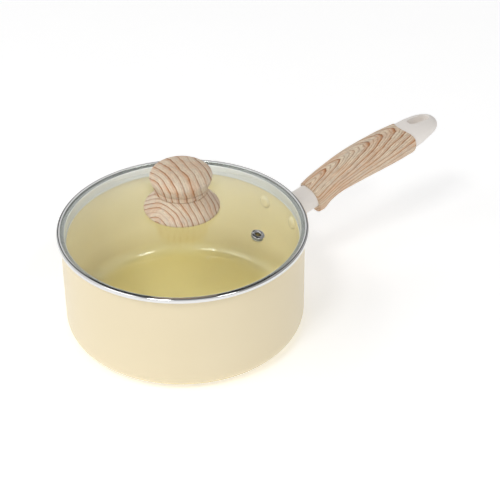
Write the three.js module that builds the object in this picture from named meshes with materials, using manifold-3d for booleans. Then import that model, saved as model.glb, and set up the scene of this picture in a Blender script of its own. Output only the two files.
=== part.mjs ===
// Saucepan with a domed glass lid, and a handle and knob with a wood finish.
// Millimetres, +Z up. The origin is the centre of the base's underside, and +X points
// along the handle. Touching pieces keep a small gap, GAP, between them.

import * as THREE from 'three';
import { mergeVertices } from 'three/addons/utils/BufferGeometryUtils.js';
import Module from 'manifold-3d';

const wasm = await Module();
wasm.setup();

// ---- Driving dimensions -----------------------------------------------------------------

const GAP = 0.3;
const ROUND_SIDES = 56;
const KNOB_SIDES = 40;
const SMALL_SIDES = 24;
const HOLE_SIDES = 16;
const HANDLE_SIDES = 24;
const NECK_SIDES = 20;

// How far a cutting bar or block runs past what it cuts, so that it always goes through
const PAST = 10;
const CUTTER = 200;

// Pan
const PAN_INNER_R = 90;
const PAN_WALL = 2.5;
const PAN_OUTER_R = PAN_INNER_R + PAN_WALL;
const PAN_RIM_Z = 83;
const PAN_FLOOR_Z = 4.5;
const PAN_OUTER_CORNER = 14;
const PAN_INNER_CORNER = 10;
const PLATE_R = 70;
const PLATE_THICK = 0.8;

// Lid
const BAND_OUTER_R = 95.5;
const BAND_LIP_R = 92.6;
const BAND_TOP_Z = 86.9;
const BAND_SHEET = 0.4;
const BAND_BEND = 1;
const BAND_LOW_BEND = 0.6;
const SKIRT_R = 89;
const SKIRT_BOTTOM_Z = 75;
const HEM_WIDTH = 1.1;
const HEM_HEIGHT = 1.3;
const GLASS_EDGE_R = 94.75;
const GLASS_THICK = 3.5;
const GLASS_TOP_Z = 104.7;
const GLASS_DOME_R = 233;
const GLASS_FLANGE_THICK = 2.3;
const GLASS_DOME_END_R = 89;
const GLASS_EDGE_THICK = 2.4;
const GLASS_FILLET = 0.55;
const GLASS_HOLE_R = 4;

// Steam vent, on the dome
const VENT_FROM_AXIS = 63;
const VENT_AZIMUTH = -61;
const VENT_FLANGE_R = 5.1;
const VENT_BARREL_R = 3;
const VENT_HOLE_R = 2.15;
const VENT_FLANGE_RISE = 1.5;
const VENT_ROLL = 0.8;
const VENT_ROLL_THICK = 0.6;
const VENT_WASHER_R = 4.7;
const VENT_WASHER_THICK = 0.5;

// Knob
const KNOB_BASE_R = 29;
const KNOB_WAIST_R = 20;
const KNOB_WAIST_Z = 118.6;
const KNOB_BALL_R = 23.4;
const KNOB_BALL_Z = 130.4;
const KNOB_TOP_Z = 139.8;
const KNOB_SHELL = 4;
const KNOB_POCKET_DEPTH = 14;
const INSERT_R = 4.5;
const INSERT_START = 2;
const INSERT_LENGTH = 11;
const KNOB_SCREW_R = 2.4;
const KNOB_SCREW_REACH = 12;
const KNOB_SCREW_HEAD_R = 5;
const KNOB_SCREW_HEAD_THICK = 2.8;
const RECESS_LENGTH = 5;
const RECESS_WIDTH = 1.1;
const RECESS_DEPTH = 1.5;
const KNOB_WASHER_R = 9;
const KNOB_WASHER_THICK = 1;
const KNOB_GASKET_R = 10;
const KNOB_GASKET_THICK = 1.2;

// Handle: every station is [x, centre height, half width, rise above centre, drop below it]
const NECK_STATIONS = [
  [88, 60, 11.6, 10.2, 10.2],
  [100, 62.8, 10.9, 9.2, 9.2],
  [112, 65.7, 10.75, 9, 9],
  [130, 69.9, 10.75, 9, 9],
];
const NECK_END = { x: 124, z: 68.5, slope: 14 };
const GRIP_STATIONS = [
  [120.5, 67.9, 12, 10.6, 16],
  [125, 69.3, 12.8, 11.4, 16.2],
  [132, 71.9, 13.2, 12, 12.2],
  [144, 76.2, 13.6, 12.2, 11.4],
  [166, 81.5, 15.2, 12.8, 12.6],
  [196, 85.9, 15.8, 13, 12.8],
  [222, 89, 14.7, 12.2, 12],
];
const TAIL_STATIONS = [
  [210, 87.6, 13.8, 11.3, 10.6],
  [222, 89.8, 13.6, 11.4, 9.4],
  [231, 91.6, 12.8, 10, 7.2],
  [239.5, 92.9, 10.8, 8.2, 5.2],
  [245.2, 93.4, 7.4, 5.9, 3.9],
  [247.6, 93.5, 3.6, 2.8, 2.3],
];
const GRIP_END = { x: 216.5, z: 88.2, slope: 8 };
const HANDLE_SQUARENESS = 2.3;
const HANG_SLOT = { from: 220.5, to: 240.5, halfWidth: 4 };

// Handle fixing: a bolt down the inside of the grip into a bracket riveted to the wall
const BOLT_START = { x: 100, z: 63.3 };
const BOLT_SLOPE = 11.7;
const BOLT_LENGTH = 107.5;
const BOLT_R = 2.5;
const BOLT_HEAD_R = 5;
const BOLT_HEAD_THICK = 3.2;
const BOLT_TIP = 0.8;
const BOLT_CHAMFER = 0.6;
const BOLT_SLOT_WIDTH = 1.2;
const BOLT_SLOT_DEPTH = 1.2;
const BOLT_WASHER_R = 5.8;
const BOLT_WASHER_THICK = 1.2;
const POCKET_R = 6.5;
const SPIGOT_CLEAR = 1.5;
const BOSS_R = 5.5;
const BOSS_START = -8;
const BOSS_END_X = 117;
const BRACKET_SHEET = 2;
const BRACKET_WIDTH = 50;
const BRACKET_HEIGHT = 24;
const BRACKET_CORNER = 6;
const BRACKET_Z = 63.2;
const RIVET_AZIMUTH = 11.5;
const RIVET_Z = 63.3;
const RIVET_R = 2.3;
const RIVET_HEAD_R = 5;
const RIVET_HEAD_THICK = 2;
const RIVET_TAIL_R = 4.2;
const RIVET_TAIL_THICK = 1.4;
const RIVET_SEAT = 0.5;

// ---- Materials --------------------------------------------------------------------------

function material(color, roughness, metalness, opacity = 1) {
  return new THREE.MeshStandardMaterial({
    color, roughness, metalness, opacity, transparent: opacity < 1,
  });
}

const CREAM_COATING = material(0xede0bc, 0.45, 0);
const CREAM_RESIN = material(0xe6dfd2, 0.5, 0);
const WOOD_FINISH = material(0xd7b89f, 0.55, 0);
const STEEL = material(0xc9cbcc, 0.2, 1);
const BRASS = material(0xc9a553, 0.35, 1);
const SILICONE = material(0xdcdcd6, 0.7, 0);
const GLASS = material(0xdfe8e2, 0.03, 0, 0.35);

// ---- Helpers ----------------------------------------------------------------------------

const radians = THREE.MathUtils.degToRad;

// Points along an arc in the (radius, height) plane, from one angle to another in degrees.
function arc(centreR, centreZ, radius, from, to, steps) {
  const points = [];
  for (let i = 0; i <= steps; i += 1) {
    const angle = radians(from + (to - from) * i / steps);
    points.push([centreR + radius * Math.cos(angle), centreZ + radius * Math.sin(angle)]);
  }
  return points;
}

// A closed mesh as a manifold-3d solid whose faces point out.
function solidOf(geometry) {
  const bare = geometry.clone();
  bare.deleteAttribute('normal');
  bare.deleteAttribute('uv');
  const merged = mergeVertices(bare, 1e-4);
  const position = merged.attributes.position;
  const corner = new THREE.Vector3();
  const next = new THREE.Vector3();
  const last = new THREE.Vector3();
  const triangles = [];
  let volume = 0;
  for (let i = 0; i < merged.index.count; i += 3) {
    const [a, b, c] = [0, 1, 2].map((k) => merged.index.getX(i + k));
    if (a !== b && b !== c && c !== a) {
      triangles.push([a, b, c]);
      corner.fromBufferAttribute(position, a);
      next.fromBufferAttribute(position, b);
      last.fromBufferAttribute(position, c);
      volume += corner.dot(next.cross(last));
    }
  }
  const outward = volume > 0 ? triangles : triangles.map(([a, b, c]) => [a, c, b]);
  return new wasm.Manifold(new wasm.Mesh({
    numProp: 3,
    vertProperties: new Float32Array(position.array),
    triVerts: new Uint32Array(outward.flat()),
  }));
}

// The solid as a named mesh.
function piece(name, solid, finish) {
  const result = solid.getMesh();
  const geometry = new THREE.BufferGeometry();
  geometry.setAttribute('position', new THREE.BufferAttribute(result.vertProperties, 3));
  geometry.setIndex(new THREE.BufferAttribute(result.triVerts, 1));
  geometry.computeVertexNormals();
  const mesh = new THREE.Mesh(geometry, finish);
  mesh.name = name;
  return mesh;
}

// A [radius, height] outline turned about Z. It closes on itself, or starts and ends on Z.
function turned(outline, sides = ROUND_SIDES, placement = new THREE.Matrix4()) {
  const points = outline.map(([r, z]) => new THREE.Vector2(Math.max(r, 0), z));
  const onAxis = points[0].x === 0 && points.at(-1).x === 0;
  if (!onAxis) {
    points.push(points[0].clone());
  }
  const geometry = new THREE.LatheGeometry(points, sides);
  geometry.rotateX(Math.PI / 2);
  geometry.applyMatrix4(placement);
  return solidOf(geometry);
}

// A round bar between two heights on its own axis.
function bar(radius, from, to, placement, sides = SMALL_SIDES) {
  return turned([[0, from], [radius, from], [radius, to], [0, to]], sides, placement);
}

// A shallow dome's outline from its edge to the axis, as [radius, height] points.
function crown(radius, height, steps) {
  const points = arc(0, 0, 1, 0, 90, steps).map(([c, s]) => [radius * c, height * s]);
  points[steps] = [0, height];
  return points;
}

// A flat ring about an own axis Z, between two heights.
function ring(inner, outer, from, to, placement, sides = SMALL_SIDES) {
  return turned([[inner, from], [outer, from], [outer, to], [inner, to]], sides, placement);
}

// Stands an own-axis Z along a direction from a point.
function along(point, direction) {
  const turn = new THREE.Quaternion().setFromUnitVectors(
    new THREE.Vector3(0, 0, 1), direction.clone().normalize(),
  );
  return new THREE.Matrix4().compose(point, turn, new THREE.Vector3(1, 1, 1));
}

// A bar with a changing rounded section, swept through the handle's stations.
function swept(stations, sides, rows, clearance = 0) {
  const centres = new THREE.CatmullRomCurve3(
    stations.map(([x, z]) => new THREE.Vector3(x, 0, z)), false, 'centripetal',
  );
  const sizes = new THREE.CatmullRomCurve3(
    stations.map(([, , half, rise, drop]) => new THREE.Vector3(half, rise, drop)),
    false, 'centripetal',
  );
  const geometry = new THREE.CylinderGeometry(1, 1, 1, sides, rows);
  const position = geometry.attributes.position;
  for (let i = 0; i < position.count; i += 1) {
    const t = THREE.MathUtils.clamp(0.5 - position.getY(i), 0, 1);
    const across = position.getX(i);
    const up = position.getZ(i);
    const centre = centres.getPoint(t);
    const tangent = centres.getTangent(t);
    const size = sizes.getPoint(t);
    const reach = Math.hypot(across, up);
    const half = size.x + clearance;
    const lift = (up > 0 ? size.y : size.z) + clearance;
    const power = 2 / HANDLE_SQUARENESS;
    const side = reach === 0 ? 0 : Math.sign(across) * Math.abs(across / reach) ** power * reach;
    const height = reach === 0 ? 0 : Math.sign(up) * Math.abs(up / reach) ** power * reach;
    position.setXYZ(
      i,
      centre.x - tangent.z * height * lift,
      side * half,
      centre.z + tangent.x * height * lift,
    );
  }
  return solidOf(geometry);
}

// ---- Pan --------------------------------------------------------------------------------

function panBody() {
  const rimR = PAN_WALL / 2;
  const outer = [
    [0, PLATE_THICK + GAP],
    [PLATE_R + GAP, PLATE_THICK + GAP],
    [PLATE_R + GAP, 0],
    ...arc(PAN_OUTER_R - PAN_OUTER_CORNER, PAN_OUTER_CORNER, PAN_OUTER_CORNER, -90, 0, 4),
  ];
  const rim = arc(PAN_OUTER_R - rimR, PAN_RIM_Z - rimR, rimR, 0, 180, 3);
  const inner = arc(
    PAN_INNER_R - PAN_INNER_CORNER, PAN_FLOOR_Z + PAN_INNER_CORNER, PAN_INNER_CORNER, 0, -90, 4,
  );
  return rivetHoles(turned([...outer, ...rim, ...inner, [0, PAN_FLOOR_Z]]));
}

function inductionPlate() {
  return bar(PLATE_R, 0, PLATE_THICK, new THREE.Matrix4(), ROUND_SIDES);
}

// ---- Handle fixing ----------------------------------------------------------------------

// Each rivet's axis runs outward from the pan's axis, at the rivet's height.
function rivetPlacements() {
  return [RIVET_AZIMUTH, -RIVET_AZIMUTH].map((azimuth) => {
    const angle = radians(azimuth);
    const outward = new THREE.Vector3(Math.cos(angle), Math.sin(angle), 0);
    return along(new THREE.Vector3(0, 0, RIVET_Z), outward);
  });
}

// The solid with a clearance hole for each rivet.
function rivetHoles(solid) {
  return rivetPlacements().reduce(
    (holed, place) => holed.subtract(
      bar(RIVET_R + GAP, PAN_INNER_R - PAST, PAN_OUTER_R + PAST, place, HOLE_SIDES),
    ),
    solid,
  );
}

// The flat faces under the head and the tail stand RIVET_SEAT clear of the curved wall.
function rivet(placement) {
  const headFace = PAN_INNER_R - RIVET_SEAT;
  const tailFace = PAN_OUTER_R + GAP + BRACKET_SHEET + GAP;
  const head = crown(RIVET_HEAD_R, RIVET_HEAD_THICK, 4).map(([r, h]) => [r, headFace - h]);
  const tail = crown(RIVET_TAIL_R, RIVET_TAIL_THICK, 3).map(([r, h]) => [r, tailFace + h]);
  const outline = [...head.reverse(), [RIVET_R, headFace], [RIVET_R, tailFace], ...tail];
  return turned(outline, HOLE_SIDES, placement);
}

function boltPlacement() {
  const slope = radians(BOLT_SLOPE);
  const direction = new THREE.Vector3(Math.cos(slope), 0, Math.sin(slope));
  return along(new THREE.Vector3(BOLT_START.x, 0, BOLT_START.z), direction);
}

// Distance along the bolt's axis from its start to a given x.
function alongBolt(x) {
  return (x - BOLT_START.x) / Math.cos(radians(BOLT_SLOPE));
}

// The upright cylinder inside a radius, for whatever must keep clear of the wall.
function wallSpace(radius) {
  return bar(radius, 0, CUTTER, new THREE.Matrix4(), ROUND_SIDES * 2);
}

// A curved plate on the wall, with a threaded boss for the handle's bolt.
function handleBracket() {
  const inside = PAN_OUTER_R + GAP;
  const outside = inside + BRACKET_SHEET;
  const spread = Math.asin(BRACKET_WIDTH / 2 / inside);
  const sector = new THREE.Shape();
  sector.absarc(0, 0, outside, -spread, spread, false);
  sector.absarc(0, 0, inside, spread, -spread, true);
  const curved = new THREE.ExtrudeGeometry(sector, {
    depth: BRACKET_HEIGHT, bevelEnabled: false, curveSegments: 10,
  });
  curved.translate(0, 0, BRACKET_Z - BRACKET_HEIGHT / 2);

  const w = BRACKET_WIDTH / 2 - GAP;
  const h = BRACKET_HEIGHT / 2 - GAP;
  const c = BRACKET_CORNER;
  const face = new THREE.Shape();
  face.absarc(w - c, h - c, c, 0, Math.PI / 2, false);
  face.absarc(c - w, h - c, c, Math.PI / 2, Math.PI, false);
  face.absarc(c - w, c - h, c, Math.PI, Math.PI * 1.5, false);
  face.absarc(w - c, c - h, c, Math.PI * 1.5, Math.PI * 2, false);
  const trim = new THREE.ExtrudeGeometry(face, {
    depth: CUTTER, bevelEnabled: false, curveSegments: 5,
  });
  trim.rotateX(Math.PI / 2);
  trim.rotateZ(Math.PI / 2);
  trim.translate(0, 0, BRACKET_Z);

  const place = boltPlacement();
  const reach = alongBolt(BOSS_END_X);
  const boss = bar(BOSS_R, BOSS_START, reach, place).subtract(wallSpace(inside));
  const bossHole = bar(BOLT_R + GAP, BOSS_START, reach + PAST, place, HOLE_SIDES);
  return rivetHoles(solidOf(curved).intersect(solidOf(trim)).add(boss).subtract(bossHole));
}

function tieBolt() {
  const end = BOLT_LENGTH;
  const top = end + BOLT_HEAD_THICK;
  const tipR = BOLT_R - BOLT_CHAMFER;
  const outline = [
    [0, BOLT_TIP],
    [tipR, BOLT_TIP],
    [BOLT_R, BOLT_TIP + 2 * BOLT_CHAMFER],
    [BOLT_R, end],
    [BOLT_HEAD_R, end],
    [BOLT_HEAD_R, top - 2 * BOLT_CHAMFER],
    [BOLT_HEAD_R - 2 * BOLT_CHAMFER, top],
    [0, top],
  ];
  const slot = new THREE.BoxGeometry(BOLT_HEAD_R * 3, BOLT_SLOT_WIDTH, BOLT_SLOT_DEPTH * 2);
  slot.translate(0, 0, top);
  slot.applyMatrix4(boltPlacement());
  return turned(outline, SMALL_SIDES, boltPlacement()).subtract(solidOf(slot));
}

// The washer lies on the pocket's floor, under the bolt's head.
function boltWasher() {
  const top = BOLT_LENGTH - GAP;
  return ring(BOLT_R + GAP, BOLT_WASHER_R, top - BOLT_WASHER_THICK, top, boltPlacement());
}

// ---- Handle -----------------------------------------------------------------------------

// Everything on the pan's side of a face across the handle, or up to a distance past it.
function before({ x, z, slope }, past = 0) {
  const block = new THREE.BoxGeometry(CUTTER, CUTTER, CUTTER);
  block.translate(past - CUTTER / 2, 0, 0);
  block.rotateY(-radians(slope));
  block.translate(x, 0, z);
  return solidOf(block);
}

// The flame guard between the pan's wall and the grip.
function handleNeck() {
  const bossHole = bar(
    BOSS_R + GAP, BOSS_START - PAST, alongBolt(NECK_END.x) + PAST, boltPlacement(),
  );
  return swept(NECK_STATIONS, NECK_SIDES, 4)
    .intersect(before(NECK_END))
    .subtract(wallSpace(PAN_OUTER_R + 2 * GAP + BRACKET_SHEET))
    .subtract(bossHole);
}

// The grip takes the neck's end in a socket, and the bolt's head and washer in a pocket.
function handleGrip() {
  const socket = swept(NECK_STATIONS, NECK_SIDES, 4, GAP).intersect(before(NECK_END, GAP));
  const pocketFloor = BOLT_LENGTH - BOLT_WASHER_THICK - 2 * GAP;
  const place = boltPlacement();
  return swept(GRIP_STATIONS, HANDLE_SIDES, 18)
    .intersect(before(GRIP_END))
    .subtract(socket)
    .subtract(bar(BOLT_R + 2 * GAP, 0, BOLT_LENGTH, place, HOLE_SIDES))
    .subtract(bar(POCKET_R, pocketFloor, alongBolt(GRIP_END.x) + PAST, place));
}

// The hanging loop, with a spigot that closes the bolt's pocket.
function handleTail() {
  const spigotStart = BOLT_LENGTH + BOLT_HEAD_THICK + SPIGOT_CLEAR;
  const spigot = bar(POCKET_R - GAP, spigotStart, alongBolt(HANG_SLOT.from + 1), boltPlacement());
  const stadium = new THREE.Shape();
  const r = HANG_SLOT.halfWidth;
  stadium.absarc(HANG_SLOT.to - r, 0, r, -Math.PI / 2, Math.PI / 2, false);
  stadium.absarc(HANG_SLOT.from + r, 0, r, Math.PI / 2, Math.PI * 1.5, false);
  const slot = new THREE.ExtrudeGeometry(stadium, {
    depth: CUTTER, bevelEnabled: false, curveSegments: 8,
  });
  return swept(TAIL_STATIONS, HANDLE_SIDES, 13)
    .subtract(before(GRIP_END, GAP))
    .add(spigot)
    .subtract(solidOf(slot));
}

// ---- Lid --------------------------------------------------------------------------------

const FLANGE_TOP_Z = BAND_TOP_Z - BAND_SHEET - GAP;
const FLANGE_BOTTOM_Z = FLANGE_TOP_Z - GLASS_FLANGE_THICK;
const HOLLOW_TOP_Z = GLASS_TOP_Z - GLASS_THICK;

// Height of the glass dome's upper surface at a radius.
function domeZ(r) {
  return GLASS_TOP_Z - GLASS_DOME_R + Math.sqrt(GLASS_DOME_R ** 2 - r ** 2);
}

// The lower surface is a flatter dome, so that the glass is thinner toward its edge.
const DOME_FALL = GLASS_TOP_Z - FLANGE_BOTTOM_Z - GLASS_EDGE_THICK;
const HOLLOW_END_R = Math.sqrt(2 * GLASS_DOME_R * DOME_FALL - DOME_FALL ** 2);
const HOLLOW_FALL = HOLLOW_TOP_Z - FLANGE_BOTTOM_Z;
const HOLLOW_DOME_R = (HOLLOW_END_R ** 2 + HOLLOW_FALL ** 2) / (2 * HOLLOW_FALL);

function hollowZ(r) {
  return HOLLOW_TOP_Z - HOLLOW_DOME_R + Math.sqrt(HOLLOW_DOME_R ** 2 - r ** 2);
}

// Points along one of the glass's surfaces, from one radius to another.
function surfacePoints(heightAt, from, to, steps) {
  const points = [];
  for (let i = 0; i <= steps; i += 1) {
    const r = from + (to - from) * i / steps;
    points.push([r, heightAt(r)]);
  }
  return points;
}

// Own axis Z at the vent, square to the dome's upper surface.
function ventPlacement() {
  const angle = radians(VENT_AZIMUTH);
  const x = VENT_FROM_AXIS * Math.cos(angle);
  const y = VENT_FROM_AXIS * Math.sin(angle);
  const point = new THREE.Vector3(x, y, domeZ(VENT_FROM_AXIS));
  return along(point, new THREE.Vector3(x, y, point.z - GLASS_TOP_Z + GLASS_DOME_R));
}

// The dome runs out into a flat flange, which the steel band grips.
function lidGlass() {
  const top = FLANGE_TOP_Z;
  const bottom = FLANGE_BOTTOM_Z;
  const edge = GLASS_EDGE_R;
  const f = GLASS_FILLET;
  const outline = [
    ...surfacePoints(domeZ, GLASS_HOLE_R, GLASS_DOME_END_R, 6),
    [GLASS_DOME_END_R + 2, top + f / 2],
    [GLASS_DOME_END_R + 3.4, top],
    [edge - f, top],
    [edge, top - f],
    [edge, bottom + f],
    [edge - f, bottom],
    [HOLLOW_END_R + 0.6, bottom],
    ...surfacePoints(hollowZ, HOLLOW_END_R - 1, GLASS_HOLE_R, 6),
  ];
  const ventHole = bar(VENT_BARREL_R + GAP, -GLASS_THICK - PAST, PAST, ventPlacement(), NECK_SIDES);
  return turned(outline).subtract(ventHole);
}

// A rolled steel strip: a channel around the glass's edge, and a skirt with a hem that
// drops inside the pan.
function lidRim() {
  const s = BAND_SHEET;
  const bend = BAND_BEND;
  const lowBend = BAND_LOW_BEND;
  const low = PAN_RIM_Z + GAP;
  const high = BAND_TOP_Z;
  const out = BAND_OUTER_R;
  const hemR = SKIRT_R - s - HEM_WIDTH;
  const hemZ = SKIRT_BOTTOM_Z + HEM_HEIGHT;
  const outline = [
    [SKIRT_R, SKIRT_BOTTOM_Z + s],
    [SKIRT_R, low],
    [out - lowBend, low],
    [out, low + lowBend],
    [out, high - bend],
    [out - 0.3 * bend, high - 0.3 * bend],
    [out - bend, high],
    [BAND_LIP_R, high],
    [BAND_LIP_R, high - s],
    [out - bend, high - s],
    [out - s, high - bend],
    [out - s, low + s + lowBend / 2],
    [out - s - lowBend / 2, low + s],
    [SKIRT_R - s, low + s],
    [SKIRT_R - s, SKIRT_BOTTOM_Z + s],
    [hemR + s, SKIRT_BOTTOM_Z + s],
    [hemR + s, hemZ],
    [hemR, hemZ],
    [hemR, SKIRT_BOTTOM_Z + s],
    [hemR + s, SKIRT_BOTTOM_Z],
    [SKIRT_R - s, SKIRT_BOTTOM_Z],
  ];
  return turned(outline);
}

// Thickness of the glass along the vent's own axis.
const VENT_GLASS = (domeZ(VENT_FROM_AXIS) - hollowZ(VENT_FROM_AXIS))
  * Math.cos(Math.asin(VENT_FROM_AXIS / GLASS_DOME_R));

// Both vent pieces share the barrel's axis: the eyelet goes through the glass from above,
// and its end is rolled over a washer on the inside.
function ventEyelet() {
  const rollTop = -VENT_GLASS - 3 * GAP - VENT_WASHER_THICK;
  const rollR = VENT_BARREL_R + VENT_ROLL;
  const rise = VENT_FLANGE_RISE;
  const flange = VENT_FLANGE_R;
  const outline = [
    [VENT_HOLE_R, rise * 0.4],
    [VENT_HOLE_R + VENT_ROLL, rise * 0.85],
    [flange * 0.7, rise],
    [flange * 0.92, rise * 0.75],
    [flange, GAP],
    [VENT_BARREL_R, GAP],
    [VENT_BARREL_R, rollTop],
    [rollR, rollTop],
    [rollR, rollTop - VENT_ROLL_THICK],
    [VENT_HOLE_R, rollTop - VENT_ROLL_THICK],
  ];
  return turned(outline, SMALL_SIDES, ventPlacement());
}

function ventWasher() {
  const top = -VENT_GLASS - 2 * GAP;
  const bottom = top - VENT_WASHER_THICK;
  return ring(VENT_BARREL_R + GAP, VENT_WASHER_R, bottom, top, ventPlacement());
}

// ---- Knob -------------------------------------------------------------------------------

// Each height from which the knob's pieces are stacked, above and below the glass.
const GASKET_SEAT_Z = GLASS_TOP_Z + GAP;
const BASE_SEAT_Z = GASKET_SEAT_Z + KNOB_GASKET_THICK + GAP;
const LOWER_GASKET_Z = HOLLOW_TOP_Z - 2 * GAP - KNOB_GASKET_THICK;
const WASHER_TOP_Z = LOWER_GASKET_Z - GAP;
const SCREW_HEAD_Z = WASHER_TOP_Z - KNOB_WASHER_THICK - GAP;

// A hollow skirted collar with a central boss that stands on the upper gasket.
function knobBase() {
  const bottom = domeZ(KNOB_BASE_R) + GAP + 0.1;
  const bore = KNOB_SCREW_R + GAP;
  const roof = KNOB_WAIST_Z - KNOB_SHELL;
  const hollow = [
    [bore, BASE_SEAT_Z],
    [KNOB_GASKET_R, BASE_SEAT_Z],
    [KNOB_GASKET_R + 1.5, roof],
    [KNOB_WAIST_R - KNOB_SHELL, roof],
    [KNOB_BASE_R - KNOB_SHELL - 0.5, bottom + 3],
    [KNOB_BASE_R - 3, bottom],
  ];
  const skirt = [
    [KNOB_BASE_R - 0.8, bottom],
    [KNOB_BASE_R, bottom + 0.9],
    [KNOB_BASE_R - 0.3, bottom + 2.2],
    [KNOB_BASE_R - 2, bottom + 4.4],
    [KNOB_WAIST_R + 3.4, bottom + 8.6],
    [KNOB_WAIST_R + 1, KNOB_WAIST_Z - 3],
    [KNOB_WAIST_R, KNOB_WAIST_Z - 0.6],
    [KNOB_WAIST_R - 0.6, KNOB_WAIST_Z],
  ];
  return turned([...hollow, ...skirt, [bore, KNOB_WAIST_Z]], KNOB_SIDES);
}

// A flattened ball on a short lip, with a pocket for the threaded insert.
function knobBall() {
  const bottom = KNOB_WAIST_Z + GAP;
  const pocketTop = KNOB_WAIST_Z + KNOB_POCKET_DEPTH;
  const pocketR = INSERT_R + GAP;
  const lip = KNOB_WAIST_R;
  const rise = KNOB_TOP_Z - KNOB_BALL_Z;
  const dome = arc(0, 0, 1, 0, 90, 6).map(
    ([c, s]) => [KNOB_BALL_R * c ** 0.8, KNOB_BALL_Z + rise * s ** 0.95],
  );
  dome[dome.length - 1] = [0, KNOB_TOP_Z];
  const outline = [
    [0, pocketTop],
    [pocketR, pocketTop],
    [pocketR, bottom],
    [lip - 0.5, bottom],
    [lip, bottom + 0.5],
    [lip + 0.2, bottom + 3.6],
    [lip + 2.2, bottom + 7.4],
    ...dome,
  ];
  return turned(outline, KNOB_SIDES);
}

// A flat ring on the knob's axis, with a clearance hole for the screw.
function knobRing(radius, bottom, top) {
  return ring(KNOB_SCREW_R + GAP, radius, bottom, top);
}

function knobInsert() {
  const from = KNOB_WAIST_Z + INSERT_START;
  return knobRing(INSERT_R, from, from + INSERT_LENGTH);
}

function knobScrew() {
  const head = KNOB_SCREW_HEAD_R;
  const underside = SCREW_HEAD_Z - KNOB_SCREW_HEAD_THICK;
  const end = KNOB_WAIST_Z + KNOB_SCREW_REACH;
  const outline = [
    [0, underside],
    [head * 0.6, underside + 0.2],
    [head, underside + KNOB_SCREW_HEAD_THICK / 2],
    [head, SCREW_HEAD_Z],
    [KNOB_SCREW_R, SCREW_HEAD_Z],
    [KNOB_SCREW_R, end - 1],
    [KNOB_SCREW_R - 0.6, end],
    [0, end],
  ];
  const cross = [[RECESS_LENGTH, RECESS_WIDTH], [RECESS_WIDTH, RECESS_LENGTH]];
  return cross.reduce((screw, [x, y]) => {
    const slot = new THREE.BoxGeometry(x, y, RECESS_DEPTH * 2);
    slot.translate(0, 0, underside);
    return screw.subtract(solidOf(slot));
  }, turned(outline, SMALL_SIDES));
}

function knobGasketUpper() {
  return knobRing(KNOB_GASKET_R, GASKET_SEAT_Z, GASKET_SEAT_Z + KNOB_GASKET_THICK);
}

// The glass is curved, so this gasket's top is a little below it at the rim.
function knobGasketLower() {
  return knobRing(KNOB_WASHER_R, LOWER_GASKET_Z, hollowZ(KNOB_WASHER_R) - GAP);
}

function knobWasher() {
  return knobRing(KNOB_WASHER_R, WASHER_TOP_Z - KNOB_WASHER_THICK, WASHER_TOP_Z);
}

// ---- Assembly ---------------------------------------------------------------------------

const pan = new THREE.Group();
pan.add(
  piece('pan_body', panBody(), CREAM_COATING),
  piece('induction_plate', inductionPlate(), STEEL),
  piece('handle_bracket', handleBracket(), STEEL),
  piece('handle_neck', handleNeck(), CREAM_RESIN),
  piece('handle_grip', handleGrip(), WOOD_FINISH),
  piece('handle_tail', handleTail(), CREAM_RESIN),
  piece('tie_bolt', tieBolt(), STEEL),
  piece('bolt_washer', boltWasher(), STEEL),
);
['rivet_left', 'rivet_right'].forEach((name, i) => {
  pan.add(piece(name, rivet(rivetPlacements()[i]), CREAM_COATING));
});

const lid = new THREE.Group();
lid.add(
  piece('lid_glass', lidGlass(), GLASS),
  piece('lid_rim', lidRim(), STEEL),
  piece('vent_eyelet', ventEyelet(), STEEL),
  piece('vent_washer', ventWasher(), STEEL),
  piece('knob_base', knobBase(), WOOD_FINISH),
  piece('knob_ball', knobBall(), WOOD_FINISH),
  piece('knob_insert', knobInsert(), BRASS),
  piece('knob_screw', knobScrew(), STEEL),
  piece('knob_washer', knobWasher(), STEEL),
  piece('knob_gasket_upper', knobGasketUpper(), SILICONE),
  piece('knob_gasket_lower', knobGasketLower(), SILICONE),
);

const saucepan = new THREE.Group();
saucepan.add(pan, lid);

export default saucepan;
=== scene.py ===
"""Saucepan with a glass lid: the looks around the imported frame."""

import math

import bmesh
import bpy
from mathutils import Matrix, Vector


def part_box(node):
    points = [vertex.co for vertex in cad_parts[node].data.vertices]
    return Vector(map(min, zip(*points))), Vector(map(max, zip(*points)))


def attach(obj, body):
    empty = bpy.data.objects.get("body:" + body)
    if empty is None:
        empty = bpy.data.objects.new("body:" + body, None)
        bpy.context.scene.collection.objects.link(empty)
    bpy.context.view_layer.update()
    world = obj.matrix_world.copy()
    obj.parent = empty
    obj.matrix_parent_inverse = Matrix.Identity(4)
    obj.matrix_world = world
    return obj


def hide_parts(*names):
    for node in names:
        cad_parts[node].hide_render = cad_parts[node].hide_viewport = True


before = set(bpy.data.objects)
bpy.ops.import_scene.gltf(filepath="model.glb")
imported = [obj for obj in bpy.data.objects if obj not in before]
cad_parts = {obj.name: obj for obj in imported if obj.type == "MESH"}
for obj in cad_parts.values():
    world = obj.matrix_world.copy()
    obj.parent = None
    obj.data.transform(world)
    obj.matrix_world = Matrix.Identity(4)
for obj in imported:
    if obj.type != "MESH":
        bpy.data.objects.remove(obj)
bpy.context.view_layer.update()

MM = 0.001
TAU = 2 * math.pi
ROUND_STEPS = 192
SMALL_STEPS = 64


# ---- Sizes, in millimetres: from the frame's boxes, from the CAD, or set for the look -----


def span(node):
    """A node's lowest and highest corners, in millimetres."""
    low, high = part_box(node)
    return low / MM, high / MM


PAN_HIGH = span("pan_body")[1]
RIM_LOW, RIM_HIGH = span("lid_rim")
GLASS_HIGH = span("lid_glass")[1]
PLATE_HIGH = span("induction_plate")[1]
BASE_HIGH = span("knob_base")[1]
BALL_HIGH = span("knob_ball")[1]

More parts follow.
